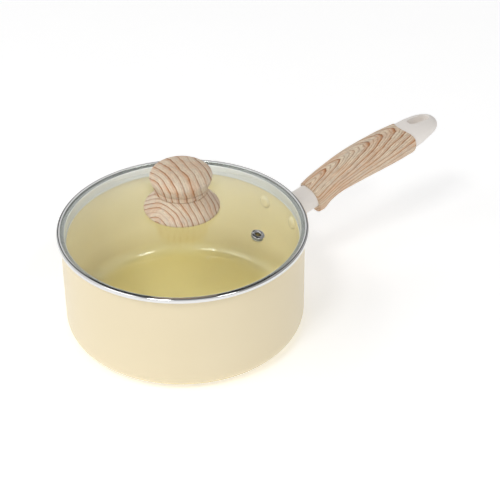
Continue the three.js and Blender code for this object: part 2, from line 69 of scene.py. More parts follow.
GAP = 0.3
PAN_R = 92.5
RIM_Z = PAN_HIGH.z
WALL = 2.5
FLOOR_Z = 4.5
CORNER = 14
INNER_CORNER = 10
PLATE_R = PLATE_HIGH.x
PLATE_THICK = PLATE_HIGH.z
BAND_R = RIM_HIGH.x
BAND_TOP = RIM_HIGH.z
BAND_LOW = RIM_Z + GAP
SKIRT_BOTTOM = RIM_LOW.z
SKIRT_R = 89
LIP_R = 92.6
SHEET = 0.4
GLASS_R = GLASS_HIGH.x
GLASS_THICK = 3.5
EDGE_THICK = 2.4
FLANGE_THICK = 2.3
DOME_R = 233
DOME_TOP = 104.7
HOLE_R = 4
VENT_R = 63
VENT_AZIMUTH = -61
KNOB_R = BASE_HIGH.x
WAIST_R = 20
WAIST_Z = BASE_HIGH.z
BALL_R = BALL_HIGH.x
BALL_MIDDLE_Z = 130.4
BALL_TOP_Z = BALL_HIGH.z
RIVET_Z = 63.3
RIVET_AZIMUTHS = (11.5, -11.5)
BRACKET_SHEET = 2
BRACKET_Z = 63.2
BRACKET_HALF_WIDTH = 24.7
BRACKET_HALF_HEIGHT = 11.7
HOLE_PITCH = 7.6
PLATE_HOLE_R = 2.1
BRACKET_CORNERS = 0.42
GLASS_VENT_R = 3.2
KNOB_BORE = 2.7


# ---- Outlines -----------------------------------------------------------------------------


def rounded(corners, steps=6, closed=True):
    """An outline whose corners, given as (x, y, corner radius), are rounded off."""
    points = []
    count = len(corners)
    for i, corner in enumerate(corners):
        here = Vector(corner[:2])
        radius = corner[2] if len(corner) > 2 else 0
        at_end = not closed and i in (0, count - 1)
        if radius == 0 or at_end:
            points.append(here)
            continue
        before = Vector(corners[i - 1][:2]) - here
        after = Vector(corners[(i + 1) % count][:2]) - here
        angle = before.angle(after)
        reach = min(radius / math.tan(angle / 2), before.length * 0.95, after.length * 0.95)
        start = here + before.normalized() * reach
        end = here + after.normalized() * reach
        radius = reach * math.tan(angle / 2)
        middle = here + (before.normalized() + after.normalized()).normalized() * (
            radius / math.sin(angle / 2)
        )
        for step in range(steps + 1):
            spoke = (start - middle).slerp(end - middle, step / steps)
            points.append(middle + spoke.normalized() * radius)
    return points


def ribbon(path, thickness, steps=6):
    """A closed outline around a rounded open path, like the section of a bent sheet."""
    line = rounded(path, steps, closed=False)
    left, right = [], []
    for i, point in enumerate(line):
        ahead = line[min(i + 1, len(line) - 1)] - line[max(i - 1, 0)]
        side = Vector((-ahead.y, ahead.x)).normalized() * thickness / 2
        left.append(point + side)
        right.append(point - side)
    return left + right[::-1]


def dome_z(r):
    """Height of the glass's upper surface at a radius."""
    return DOME_TOP - DOME_R + math.sqrt(DOME_R ** 2 - r ** 2)


FLANGE_TOP = BAND_TOP - SHEET - GAP
FLANGE_LOW = FLANGE_TOP - FLANGE_THICK
HOLLOW_TOP = DOME_TOP - GLASS_THICK
HOLLOW_END_R = math.sqrt(DOME_R ** 2 - (FLANGE_LOW + EDGE_THICK - DOME_TOP + DOME_R) ** 2)
HOLLOW_SAG = HOLLOW_TOP - FLANGE_LOW
HOLLOW_DOME_R = (HOLLOW_END_R ** 2 + HOLLOW_SAG ** 2) / (2 * HOLLOW_SAG)


def hollow_z(r):
    """Height of the glass's lower surface at a radius: it is thinner toward its edge."""
    return HOLLOW_TOP - HOLLOW_DOME_R + math.sqrt(HOLLOW_DOME_R ** 2 - r ** 2)


def surface_line(height_at, start, end, steps):
    """Points along a surface of the glass from one radius to another."""
    radii = [start + (end - start) * i / steps for i in range(steps + 1)]
    return [(r, height_at(r)) for r in radii]


# ---- Mesh making --------------------------------------------------------------------------


def finish_mesh(name, mesh_data, sharp=35):
    """A smooth-shaded object from a bmesh, with hard edges kept where it turns sharply."""
    bmesh.ops.recalc_face_normals(mesh_data, faces=mesh_data.faces)
    mesh = bpy.data.meshes.new(name)
    mesh_data.to_mesh(mesh)
    mesh_data.free()
    for polygon in mesh.polygons:
        polygon.use_smooth = True
    mesh.set_sharp_from_angle(angle=math.radians(sharp))
    piece = bpy.data.objects.new(name, mesh)
    bpy.context.scene.collection.objects.link(piece)
    return piece


def rings_to_mesh(name, rings, closed_rows=False, sharp=35):
    """Joins rings of points, in millimetres, into one skin. A ring of one point is a pole."""
    bm = bmesh.new()
    made = [[bm.verts.new(Vector(p) * MM) for p in ring] for ring in rings]
    pairs = list(zip(made, made[1:]))
    if closed_rows:
        pairs.append((made[-1], made[0]))
    for first, second in pairs:
        count = max(len(first), len(second))
        for i in range(count):
            j = (i + 1) % count
            corners = [
                first[i % len(first)], first[j % len(first)],
                second[j % len(second)], second[i % len(second)],
            ]
            unique = list(dict.fromkeys(corners))
            if len(unique) > 2:
                bm.faces.new(unique)
    return finish_mesh(name, bm, sharp)


def lathe(name, outline, steps=ROUND_STEPS, placement=Matrix(), sharp=35):
    """Turns a (radius, height) outline about Z. It closes on itself, or ends on the axis."""
    on_axis = outline[0][0] < 1e-6 and outline[-1][0] < 1e-6
    rings = []
    for r, z in outline:
        if r < 1e-6:
            rings.append([placement @ Vector((0, 0, z))])
        else:
            angles = [TAU * i / steps for i in range(steps)]
            rings.append([placement @ Vector((r * math.cos(a), r * math.sin(a), z)) for a in angles])
    return rings_to_mesh(name, rings, closed_rows=not on_axis, sharp=sharp)


def apply_modifiers(piece):
    """Keeps what the piece's modifiers make, and takes them off."""
    graph = bpy.context.evaluated_depsgraph_get()
    mesh = bpy.data.meshes.new_from_object(piece.evaluated_get(graph))
    piece.modifiers.clear()
    piece.data = mesh


def cut(piece, cutter):
    """Takes the cutter's shape out of the piece, and removes the cutter."""
    modifier = piece.modifiers.new("cut", "BOOLEAN")
    modifier.operation = "DIFFERENCE"
    modifier.solver = "EXACT"
    modifier.object = cutter
    apply_modifiers(piece)
    bpy.data.objects.remove(cutter)
    return piece


def along(point, direction):
    """Stands a piece's own Z along a direction from a point."""
    turn = Vector((0, 0, 1)).rotation_difference(Vector(direction))
    return Matrix.Translation(point) @ turn.to_matrix().to_4x4()


def stands_for(piece, node, body, slot, *materials):
    """Gives a piece its finish and body, and hides the CAD node that it stands for."""
    for material in materials:
        piece.data.materials.append(material)
    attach(piece, body)
    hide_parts(node)


# ---- Shader making ------------------------------------------------------------------------


class Shader:
    """A material under construction. Node inputs take plain values or other nodes' outputs."""

    def __init__(self, name):
        self.material = bpy.data.materials.new(name)
        self.material.use_nodes = True
        self.tree = self.material.node_tree
        self.surface = self.tree.nodes["Principled BSDF"]
        self.output = self.tree.nodes["Material Output"]

    def node(self, kind, inputs=(), out=0, **settings):
        """Adds a node, sets it up and returns one of its outputs."""
        made = self.tree.nodes.new("ShaderNode" + kind)
        for key, value in settings.items():
            setattr(made, key, value)
        for key, value in dict(inputs).items():
            self.feed(made.inputs[key], value)
        return made.outputs[out]

    def feed(self, socket, value):
        if isinstance(value, bpy.types.NodeSocket):
            self.tree.links.new(value, socket)
        else:
            socket.default_value = value

    def set(self, **inputs):
        """Sets the Principled shader's inputs; an underscore stands for a space."""
        for key, value in inputs.items():
            self.feed(self.surface.inputs[key.replace("_", " ")], value)

    def math(self, operation, a, b=0.0, c=0.0, clamp=False):
        return self.node("Math", {0: a, 1: b, 2: c}, operation=operation, use_clamp=clamp)

    def place(self):
        """The point's place in its object's own frame, in millimetres."""
        metres = self.node("TexCoord", out=3)
        return self.node("VectorMath", {0: metres, 3: 1 / MM}, operation="SCALE")

    def noise(self, vector, scale, detail=3.0, roughness=0.5, distortion=0.0):
        return self.node("TexNoise", {
            "Vector": vector, "Scale": scale, "Detail": detail,
            "Roughness": roughness, "Distortion": distortion,
        })

    def split(self, vector):
        """A vector's three parts."""
        made = self.tree.nodes.new("ShaderNodeSeparateXYZ")
        self.feed(made.inputs[0], vector)
        return made.outputs

    def hypot(self, a, b):
        """The length of the hypotenuse over two sides."""
        squares = self.math("ADD", self.math("MULTIPLY", a, a), self.math("MULTIPLY", b, b))
        return self.math("SQRT", squares)

    def drift(self, vector, scales, size):
        """A slow random displacement of about half of size either way."""
        wander = self.node("TexNoise", {
            "Vector": self.stretch(vector, scales), "Scale": 1.0, "Detail": 1.5,
        }, out=1)
        centred = self.node("VectorMath", {0: wander, 1: (0.5, 0.5, 0.5)}, operation="SUBTRACT")
        return self.node("VectorMath", {0: centred, 3: size}, operation="SCALE")

    def stretch(self, vector, factors):
        return self.node("VectorMath", {0: vector, 1: factors}, operation="MULTIPLY")

    def ramp(self, factor, stops):
        """A colour ramp; each stop is (position, colour)."""
        made = self.tree.nodes.new("ShaderNodeValToRGB")
        elements = made.color_ramp.elements
        while len(elements) < len(stops):
            elements.new(0.5)
        for element, (position, colour) in zip(elements, stops):
            element.position = position
            element.color = tuple(colour) + (1,)
        self.feed(made.inputs[0], factor)
        return made.outputs[0]

    def mix(self, factor, a, b, blend="MIX"):
        made = self.tree.nodes.new("ShaderNodeMix")
        made.data_type = "RGBA"
        made.blend_type = blend
        for index, value in ((0, factor), (6, a), (7, b)):
            if isinstance(value, (tuple, list)):
                value = tuple(value) + (1,)
            self.feed(made.inputs[index], value)
        return made.outputs[2]

    def between(self, value, low, high):
        """Maps a 0 to 1 value onto a range."""
        return self.node("MapRange", {0: value, 3: low, 4: high})

    def bump(self, height, strength, distance, normal=None):
        inputs = {"Strength": strength, "Distance": distance, "Height": height}
        if normal is not None:
            inputs["Normal"] = normal
        return self.node("Bump", inputs)


class Sky(Shader):
    """The same for a world's light."""

    def __init__(self, world):
        self.tree = world.node_tree
        self.surface = self.tree.nodes["Background"]


def shade(colour):
    """A linear colour from one as seen on screen, 0 to 255."""
    parts = [part / 255 for part in colour]
    return tuple(p / 12.92 if p <= 0.04045 else ((p + 0.055) / 1.055) ** 2.4 for p in parts)


def coating(name, colour, deep, roughness, coat, ripple, painted_floor_shade=None):
    """A sprayed ceramic-type coat: faint tone clouds, an orange-peel ripple and soft gloss. Given a
    floor colour, the floor is painted darker and richer as painted shade, and the walls stay lighter
    as a painted reflection of the white surroundings.
    """
    shader = Shader(name)
    place = shader.place()
    clouds = shader.noise(place, 0.02, 4)
    colour_mix = shader.mix(clouds, shade(colour), shade(deep))
    if painted_floor_shade:
        # Painted light: by height, the colour blends from the painted floor shade up to the lighter
        # wall colour, which stands for a painted reflection on the walls; the wall share below is this
        # painted-light blend.
        height = shader.math("ADD", shader.split(place)[2], shader.math("MULTIPLY", clouds, 8.0))
        wall = shader.node("MapRange", {0: height, 1: 8.0, 2: 34.0, 3: 0.0, 4: 1.0})
        colour_mix = shader.mix(wall, shade(painted_floor_shade), colour_mix)
    peel = shader.noise(place, 0.5, 2)
    grit = shader.noise(place, 2.2, 2)
    shader.set(
        Base_Color=colour_mix,
        Roughness=shader.between(shader.noise(place, 0.15, 3), roughness - 0.04, roughness + 0.05),
        Coat_Weight=coat,
        Coat_Roughness=0.03,
        Normal=shader.bump(grit, ripple * 0.5, 0.00003, shader.bump(peel, ripple, 0.0002)),
    )
    return shader.material


def moulded(name, colour, roughness=0.42):
    """Satin moulded resin: a fine even texture and faint tone changes."""
    shader = Shader(name)
    place = shader.place()
    tone = shader.noise(place, 0.05, 3)
    grain = shader.noise(place, 3.5, 2)
    darker = tuple(part * 0.965 for part in colour)
    shader.set(
        Base_Color=shader.mix(tone, shade(colour), shade(darker)),
        Roughness=shader.between(grain, roughness - 0.05, roughness + 0.07),
        Specular_IOR_Level=0.45,
        Normal=shader.bump(grain, 0.12, 0.00005),
    )
    return shader.material


def rings_in_space(shader, origin, axis, across, pith):
    """Coordinates along the rings, across them and in depth, and the distance from the pith.

    The pith is a line along axis. It lies back from origin by pith's two parts, the first along
    across and the second along the normal of axis and across."""
    x_axis = Vector(axis).normalized()
    z_axis = x_axis.cross(Vector(across)).normalized()
    y_axis = z_axis.cross(x_axis)
    turn = Matrix((x_axis, y_axis, z_axis)).transposed().to_euler()
    local = shader.node("Mapping", {
        "Vector": shader.place(), "Location": tuple(origin), "Rotation": tuple(turn),
        "Scale": (1, 1, 1),
    }, vector_type="TEXTURE")
    bent = shader.node("VectorMath", {0: local, 1: shader.drift(local, (0.018, 0.05, 0.05), 6)},
                       operation="ADD")
    parts = shader.split(bent)
    side = shader.math("ADD", parts[1], pith[0])
    rise = shader.math("ADD", parts[2], pith[1])
    radius = shader.hypot(side, rise)
    arc = shader.math("MULTIPLY", shader.math("ARCTAN2", side, rise), math.hypot(*pith))
    return shader.node("CombineXYZ", {0: arc, 1: radius, 2: parts[0]}), radius


def rings_on_sheet(shader, start, slope):
    """Grain coordinates from the UV map, with arches whose closed ends point along u."""
    local = shader.node("TexCoord", out=2)
    bent = shader.node("VectorMath", {0: local, 1: shader.drift(local, (0.022, 0.06, 0.06), 5)},
                       operation="ADD")
    parts = shader.split(bent)
    rise = shader.math("ADD", shader.math("MULTIPLY", parts[0], slope), start)
    return local, shader.hypot(shader.math("MULTIPLY", parts[1], 0.8), rise)


def wood_print(name, spacing, seed, fine, rings, *rings_settings):
    """A printed wood grain: late-wood lines of changing weight, fibres, pores and tints."""
    shader = Shader(name)
    local, radius = rings(shader, *rings_settings)
    shift = (seed, seed * 1.7, seed * 2.3)
    seeded = shader.node("VectorMath", {0: local, 1: shift}, operation="ADD")
    ripple = shader.noise(shader.stretch(seeded, (0.1, 0.5, 0.5)), 1.0, 3)
    uneven = shader.noise(shader.node("CombineXYZ", {0: radius}), 0.2 / spacing, 1)
    phase = shader.math("DIVIDE", radius, spacing)
    small, large = shader.math("MULTIPLY", ripple, 0.3), shader.math("MULTIPLY", uneven, 1.5)
    wander = shader.math("ADD", small, large)
    phase = shader.math("ADD", phase, wander)
    ring = shader.math("FLOOR", phase)
    within = shader.math("FRACT", phase)
    strength = shader.node("TexWhiteNoise", {"W": ring}, noise_dimensions="1D")
    fading = shader.noise(shader.stretch(seeded, (0.03, 0.12, 0.12)), 1.0, 2)

    pale = shade((240, 222, 196))
    mid = shade((224, 196, 168))
    late = shade((190, 124, 70))
    line = shade((112, 70, 40))
    bands = shader.ramp(within, [
        (0.0, mid), (0.08, pale), (0.5, pale), (0.76, mid), (0.9, late), (0.965, line), (1.0, mid),
    ])
    quiet = shader.ramp(within, [(0.0, pale), (0.72, pale), (0.93, mid), (1.0, pale)])
    weight = shader.math("ADD", shader.math("MULTIPLY", strength, 0.8), fading)
    loud = shader.node("MapRange", {0: weight, 1: 0.5, 2: 1.05, 3: 0.05, 4: 1.0})
    grain = shader.mix(loud, quiet, bands)

    thin = shader.math("FRACT", shader.math("MULTIPLY", phase, 3.0))
    thin_line = shader.node("MapRange", {0: thin, 1: 0.6, 2: 0.95, 3: 0.0, 4: 0.7})
    fine_colour = shade((164, 108, 70))
    grain = shader.mix(shader.math("MULTIPLY", thin_line, fine), grain, fine_colour)

    patches = shader.noise(shader.stretch(seeded, (0.03, 0.12, 0.12)), 1.0, 3)
    rosy = shader.node("MapRange", {0: patches, 1: 0.45, 2: 0.65, 3: 0.0, 4: 0.32})
    tinted = shader.mix(rosy, grain, shade((222, 160, 112)))
    hazes = shader.noise(shader.stretch(seeded, (0.05, 0.2, 0.2)), 1.7, 3)
    grey = shader.node("MapRange", {0: hazes, 1: 0.5, 2: 0.7, 3: 0.0, 4: 0.35})
    tinted = shader.mix(grey, tinted, shade((200, 192, 180)))
    fibres = shader.noise(shader.stretch(seeded, (0.14, 2.2, 2.2)), 1.0, 4, 0.7)
    fibre_shade = shader.node("MapRange", {0: fibres, 1: 0.25, 2: 0.75, 3: 0.62, 4: 1.16})
    fibred = shader.mix(1.0, tinted, shader.node("CombineColor", {
        0: fibre_shade, 1: fibre_shade, 2: fibre_shade,
    }), blend="MULTIPLY")
    pores = shader.noise(shader.stretch(seeded, (0.4, 3.6, 3.6)), 1.0, 1)
    dashes = shader.node("MapRange", {0: pores, 1: 0.62, 2: 0.72, 3: 0.0, 4: 0.55})
    colour = shader.mix(dashes, fibred, shade((146, 108, 78)))

    grooves = shader.math("MULTIPLY", within, -0.2)
    relief = shader.math("ADD", shader.math("MULTIPLY", fibres, 0.5), grooves)
    shader.set(
        Base_Color=colour,
        Roughness=shader.between(fibres, 0.42, 0.58),
        Specular_IOR_Level=0.4,
        Normal=shader.bump(relief, 0.25, 0.00008),
    )
    return shader.material


def metal(name, colour, roughness, scratch=0.03, direction=(1, 1, 1), satin_below=None):
    """Metal with fine rubbing marks in its roughness and surface."""
    shader = Shader(name)
    marks = shader.noise(shader.stretch(shader.place(), direction), 2.0, 4)
    smudges = shader.noise(shader.place(), 0.08, 3)
    worn = shader.math("MULTIPLY", shader.math("ADD", marks, smudges), scratch)
    if satin_below:
        height = shader.split(shader.place())[2]
        satin = shader.node("MapRange", {
            0: height, 1: satin_below - 0.5, 2: satin_below, 3: 0.55, 4: 0.0,
        })
        worn = shader.math("ADD", worn, satin)
        shader.set(Metallic=shader.node("MapRange", {
            0: height, 1: satin_below - 0.5, 2: satin_below, 3: 0.3, 4: 1.0,
        }))
    else:
        shader.set(Metallic=1.0)
    shader.set(
        Base_Color=shader.mix(smudges, colour, tuple(part * 0.93 for part in colour)),
        Roughness=shader.math("ADD", worn, roughness),
        Normal=shader.bump(marks, scratch * 2, 0.00002),
    )
    return shader.material


def clear_glass():
    """Tempered glass. Shadow rays pass through it, so the lamps light what is under the lid."""
    shader = Shader("tempered_glass")
    place = shader.place()
    wave = shader.noise(place, 0.03, 2)
    haze = shader.noise(place, 0.4, 3)
    shader.set(
        Base_Color=shade((250, 254, 250)) + (1,),
        Transmission_Weight=1.0,
        IOR=1.5,
        Roughness=shader.between(haze, 0.0, 0.012),
        Normal=shader.bump(wave, 0.05, 0.0002),
    )
    open_glass = shader.node("BsdfTransparent", {"Color": (0.98, 0.99, 0.98, 1)})
    shadow = shader.node("LightPath", out=1)
    mixed = shader.node("MixShader", {0: shadow, 1: shader.surface.outputs[0], 2: open_glass})
    shader.tree.links.new(mixed, shader.output.inputs["Surface"])
    return shader.material


def silicone():
    shader = Shader("silicone_ring")
    speck = shader.noise(shader.place(), 1.5, 3)
    shader.set(
        Base_Color=shader.mix(speck, shade((226, 226, 220)), shade((214, 214, 206))),
        Roughness=shader.between(speck, 0.5, 0.65),
        Subsurface_Weight=0.2,
        Subsurface_Radius=(0.002, 0.002, 0.002),
        Normal=shader.bump(speck, 0.1, 0.00005),
    )
    return shader.material


# ---- Materials ----------------------------------------------------------------------------

OUTSIDE = coating("cream_outside", (234, 220, 187), (231, 216, 181), 0.36, 0.1, 0.12)
# The inside's last colour is painted shade for the floor; the walls keep the lighter colour as a
# painted reflection.
INSIDE = coating(
    "cream_inside", (247, 233, 190), (244, 229, 182), 0.24, 1.0, 0.02, (225, 207, 143))
RESIN = moulded("cream_resin", (241, 235, 229))
CHROME = metal("polished_steel", (0.48, 0.48, 0.48), 0.04, 0.03)
BAND = metal("polished_steel_band", (0.8, 0.8, 0.8), 0.05, 0.02, satin_below=BAND_LOW + 0.5)
STEEL = metal("brushed_steel", (0.66, 0.66, 0.65), 0.24, 0.12, (0.1, 1, 1))
BARE = metal("bare_aluminium", (0.78, 0.78, 0.77), 0.3, 0.1)
BRASS = metal("turned_brass", (0.75, 0.58, 0.28), 0.2, 0.08)
GLASS = clear_glass()
SILICONE = silicone()
GRIP_WOOD = wood_print("wood_print_grip", 2.1, 3.1, 0.9, rings_on_sheet, 2.4, 0.14)
TOWARD_VIEW = (-0.422, -0.676, 0.604)
ACROSS_VIEW = (0.848, -0.53, 0)
BALL_WOOD = wood_print(
    "wood_print_ball", 5.0, 7.7, 0.3,
    rings_in_space, (0, 0, 128), TOWARD_VIEW, ACROSS_VIEW, (40, 24),
)
BASE_WOOD = wood_print(
    "wood_print_base", 3.8, 12.3, 0.35,
    rings_in_space, (0, 0, 110), TOWARD_VIEW, ACROSS_VIEW, (22, 26),
)


# ---- Pan ----------------------------------------------------------------------------------


def pan_body():
    """The pressed pan. Its faces are outside, inside and the bare metal behind the plate."""
    pocket = PLATE_R + GAP
    under = PLATE_THICK + GAP
    outside = rounded([
        (0, under), (pocket, under, 0.2), (pocket, 0, 0.3),
        (PAN_R, 0, CORNER), (PAN_R, RIM_Z, WALL / 2 - 0.05),
        (PAN_R - WALL, RIM_Z, WALL / 2 - 0.05),
        (PAN_R - WALL, FLOOR_Z, INNER_CORNER), (0, FLOOR_Z),
    ], 12, closed=False)
    piece = lathe("pan_shell", [tuple(p) for p in outside])
    for polygon in piece.data.polygons:
        centre = polygon.center / MM
        radius = math.hypot(centre.x, centre.y)
        behind_plate = centre.z < under + 0.3 and radius < pocket
        inside = radius < PAN_R - WALL + 0.6 and centre.z > under + 0.6
        polygon.material_index = 2 if behind_plate else int(inside)
    stands_for(piece, "pan_body", "pan", "cream_coating", OUTSIDE, INSIDE, BARE)


def plate_holes():
    """Centres of the plate's round holes: rings around the middle, evenly spread."""
    holes = [(0.0, 0.0)]
    rings = int((PLATE_R - 6) / HOLE_PITCH)
    for ring in range(1, rings + 1):
        radius = ring * HOLE_PITCH
        count = 6 * ring
        turn = ring * 0.35
        for i in range(count):
            angle = turn + TAU * i / count
            holes.append((radius * math.cos(angle), radius * math.sin(angle)))
    return holes


def flat_with_holes(name, radius, holes, hole_radius, low, high, bevel):
    """A disc with round holes and softened edges, made from a filled flat curve."""
    curve = bpy.data.curves.new(name, "CURVE")
    curve.dimensions = "2D"
    curve.fill_mode = "BOTH"
    curve.extrude = (high - low) / 2 * MM - bevel * MM
    curve.bevel_depth = bevel * MM
    curve.bevel_resolution = 2
    for (x, y), r, steps in [((0, 0), radius, ROUND_STEPS)] + [(h, hole_radius, 20) for h in holes]:
        spline = curve.splines.new("POLY")
        spline.points.add(steps - 1)
        for i, point in enumerate(spline.points):
            angle = TAU * i / steps
            point.co = ((x + r * math.cos(angle)) * MM, (y + r * math.sin(angle)) * MM, 0, 1)
        spline.use_cyclic_u = True
    source = bpy.data.objects.new(name + "_curve", curve)
    bpy.context.scene.collection.objects.link(source)
    bpy.context.view_layer.update()
    graph = bpy.context.evaluated_depsgraph_get()
    mesh = bpy.data.meshes.new_from_object(source.evaluated_get(graph))
    mesh.transform(Matrix.Translation((0, 0, (low + high) / 2 * MM)))
    bpy.data.objects.remove(source)
    bm = bmesh.new()
    bm.from_mesh(mesh)
    bmesh.ops.remove_doubles(bm, verts=bm.verts, dist=1e-6)
    return finish_mesh(name, bm)


def induction_plate():
    piece = flat_with_holes(
        "perforated_plate", PLATE_R - 0.15, plate_holes(), PLATE_HOLE_R, 0, PLATE_THICK, 0.12)
    stands_for(piece, "induction_plate", "pan", "steel", STEEL)


def radial(azimuth, z):
    """Placement of something whose own Z points outward from the pan's axis."""
    angle = math.radians(azimuth)
    return along(Vector((0, 0, z)), (math.cos(angle), math.sin(angle), 0))


def rivets():
    head_face = PAN_R - WALL - 0.1
    tail_face = PAN_R + GAP + BRACKET_SHEET
    for azimuth, node in zip(RIVET_AZIMUTHS, ("rivet_left", "rivet_right")):
        outline = rounded([
            (0, head_face - 2.1), (3.2, head_face - 1.9, 2.4), (5, head_face - 0.5, 0.5),
            (5, head_face + 0.4, 0.2), (2.3, head_face + 0.4), (2.3, tail_face + 0.05),
            (4.2, tail_face + 0.05, 0.1), (4.2, tail_face + 0.7, 0.6),
            (2.4, tail_face + 1.5, 1), (0, tail_face + 1.5),
        ], 8, closed=False)
        placement = radial(azimuth, RIVET_Z)
        piece = lathe(node + "_turned", [tuple(p) for p in outline], SMALL_STEPS, placement)
        for polygon in piece.data.polygons:
            centre = polygon.center / MM
            polygon.material_index = int(math.hypot(centre.x, centre.y) > PAN_R + 1)
        stands_for(piece, node, "pan", "cream_coating", INSIDE, STEEL)


# ---- Handle -------------------------------------------------------------------------------

# Each station is x, centre height, half width, rise above the centre and drop below it.
NECK = [
    (88, 60, 11.6, 10.2, 10.2), (100, 62.8, 10.9, 9.2, 9.2),
    (112, 65.7, 10.75, 9, 9), (130, 69.9, 10.75, 9, 9),
]
GRIP = [
    (120.5, 67.9, 12, 10.6, 16), (125, 69.3, 12.8, 11.4, 16.2), (132, 71.9, 13.2, 12, 12.2),
    (144, 76.2, 13.6, 12.2, 11.4), (166, 81.5, 15.2, 12.8, 12.6), (196, 85.9, 15.8, 13, 12.8),
    (222, 89, 14.7, 12.2, 12),
]
TAIL = [
    (210, 87.6, 13.8, 11.3, 10.6), (222, 89.8, 13.6, 11.4, 9.4), (231, 91.6, 12.8, 10, 7.2),
    (239.5, 92.9, 10.8, 8.2, 5.2), (245.2, 93.4, 7.4, 5.9, 3.9), (247.6, 93.5, 3.6, 2.8, 2.3),
]
SQUARENESS = 2.3
HANDLE_SIDES = 96
SLOT_FROM, SLOT_TO, SLOT_HALF = 220.5, 240.5, 4
GRIP_END = 216.5
LOOP_VOXEL = 0.45


def spline_at(rows, t):
    """A smooth curve through the rows, with t running from 0 to 1."""
    count = len(rows)
    place = min(max(t, 0), 1) * (count - 1)
    i = min(int(place), count - 2)
    u = place - i
    b, c = Vector(rows[i]), Vector(rows[i + 1])
    a = Vector(rows[i - 1]) if i > 0 else 2 * b - c
    d = Vector(rows[i + 2]) if i + 2 < count else 2 * c - b
    return 0.5 * (2 * b + (c - a) * u + (2 * a - 5 * b + 4 * c - d) * u * u
                  + (3 * b - a - 3 * c + d) * u ** 3)


def t_at_x(rows, x):
    """The curve parameter where the stations' centre reaches x."""
    low, high = 0.0, 1.0
    for _ in range(40):
        middle = (low + high) / 2
        if spline_at(rows, middle)[0] < x:
            low = middle
        else:
            high = middle
    return (low + high) / 2


def section(rows, t, grow=0.0, slide=0.0, bow=None):
    """One ring of the handle, grown outward, slid along it and bowed by bow(angle)."""
    here = spline_at(rows, t)
    ahead = spline_at(rows, min(t + 0.002, 1)) - spline_at(rows, max(t - 0.002, 0))
    tangent = Vector((ahead[0], 0, ahead[1])).normalized()
    up = Vector((-tangent.z, 0, tangent.x))
    ring = []
    for i in range(HANDLE_SIDES):
        angle = TAU * i / HANDLE_SIDES
        c, s = math.cos(angle), math.sin(angle)
        power = 2 / SQUARENESS
        width = math.copysign(abs(c) ** power, c) * (here[2] + grow)
        height = math.copysign(abs(s) ** power, s) * ((here[3] if s > 0 else here[4]) + grow)
        shift = slide + (bow(angle) if bow else 0)
        ring.append(Vector((here[0], width, here[1])) + up * height + tangent * shift)
    return ring


def centre_of(ring):
    return [sum(ring, Vector()) / len(ring)]


def rounded_end(rows, t, radius, outward, steps=5, bow=None):
    """Rings that roll the handle's edge over, ending square to it; outward is 1 or -1."""
    rings = []
    for i in range(steps + 1):
        angle = math.pi / 2 * i / steps
        rings.append(section(
            rows, t, radius * (math.cos(angle) - 1), outward * radius * (math.sin(angle) - 1), bow))
    return rings


def handle_neck():
    """The flame guard: it flares a little where it meets the bracket."""
    wall = PAN_R + GAP + BRACKET_SHEET + 0.05
    rings = []
    for grow, step in ((1.6, 0.0), (1.45, 0.25), (0.9, 0.8), (0.4, 1.6), (0.1, 3.0)):
        ring = section(NECK, t_at_x(NECK, 96), grow)
        slope = Vector((12, 0, 2.8)).normalized()
        gaps = [math.sqrt(max(wall ** 2 - p.y ** 2, 0)) + step - p.x for p in ring]
        rings.append([p + slope * gap for p, gap in zip(ring, gaps)])
    start, end = t_at_x(NECK, 100.5), t_at_x(NECK, 124)
    rings += [section(NECK, start + (end - start) * i / 12) for i in range(13)]
    rings.insert(0, centre_of(rings[0]))
    rings.append(centre_of(rings[-1]))
    piece = rings_to_mesh("flame_guard", rings)
    stands_for(piece, "handle_neck", "pan", "cream_resin", RESIN)


def grip_tail_edge(angle):
    """The grip's rear edge reaches back along its sides and in over the top and bottom."""
    upward = math.sin(angle)
    return 0.9 - 5.9 * max(upward, 0) ** 3 - 3.4 * max(-upward, 0) ** 2


def lay_print(piece):
    """A UV map in millimetres: u along the handle, v around it from the middle of its top."""
    places = []
    for vertex in piece.data.vertices:
        x, y, z = vertex.co / MM
        centre, half, rise = spline_at(GRIP, t_at_x(GRIP, x))[1:4]
        over_top = min(abs(y), half * 0.75)
        down_side = max(0, centre + rise * 0.8 - z)
        places.append((x - GRIP[0][0], math.copysign(over_top + down_side, y)))
    layer = piece.data.uv_layers.new(name="print")
    for loop in piece.data.loops:
        layer.data[loop.index].uv = places[loop.vertex_index]


def handle_grip():
    """The wood-print grip, open at both ends for the neck and the tail."""
    front, rear = 0.0, t_at_x(GRIP, GRIP_END)
    neck_mouth = t_at_x(NECK, GRIP[0][0])
    tail_mouth = t_at_x(TAIL, GRIP_END)
    rings = [section(NECK, neck_mouth, 0.25, 3), section(NECK, neck_mouth, 0.25, 0.6)]
    rings += [section(NECK, neck_mouth, 0.35, 0.25)]
    rings += rounded_end(GRIP, front, 1.3, -1)[::-1]
    body = 70
    bow_from = 0.86
    for i in range(1, body):
        t = front + (rear - front) * i / body
        share = max(0, (i / body - bow_from) / (1 - bow_from)) ** 1.5
        rings.append(section(GRIP, t, 0, -1.1 * share, lambda a, s=share: grip_tail_edge(a) * s))
    rings += rounded_end(GRIP, rear, 1.1, 1, bow=grip_tail_edge)
    rings += [section(TAIL, tail_mouth, 0.3, -0.3, grip_tail_edge)]
    rings += [section(TAIL, tail_mouth, 0.2, -6.3)]
    rings.insert(0, centre_of(rings[0]))
    rings.append(centre_of(rings[-1]))
    piece = rings_to_mesh("grip_shell", rings, sharp=50)
    lay_print(piece)
    stands_for(piece, "handle_grip", "pan", "wood_finish", GRIP_WOOD)


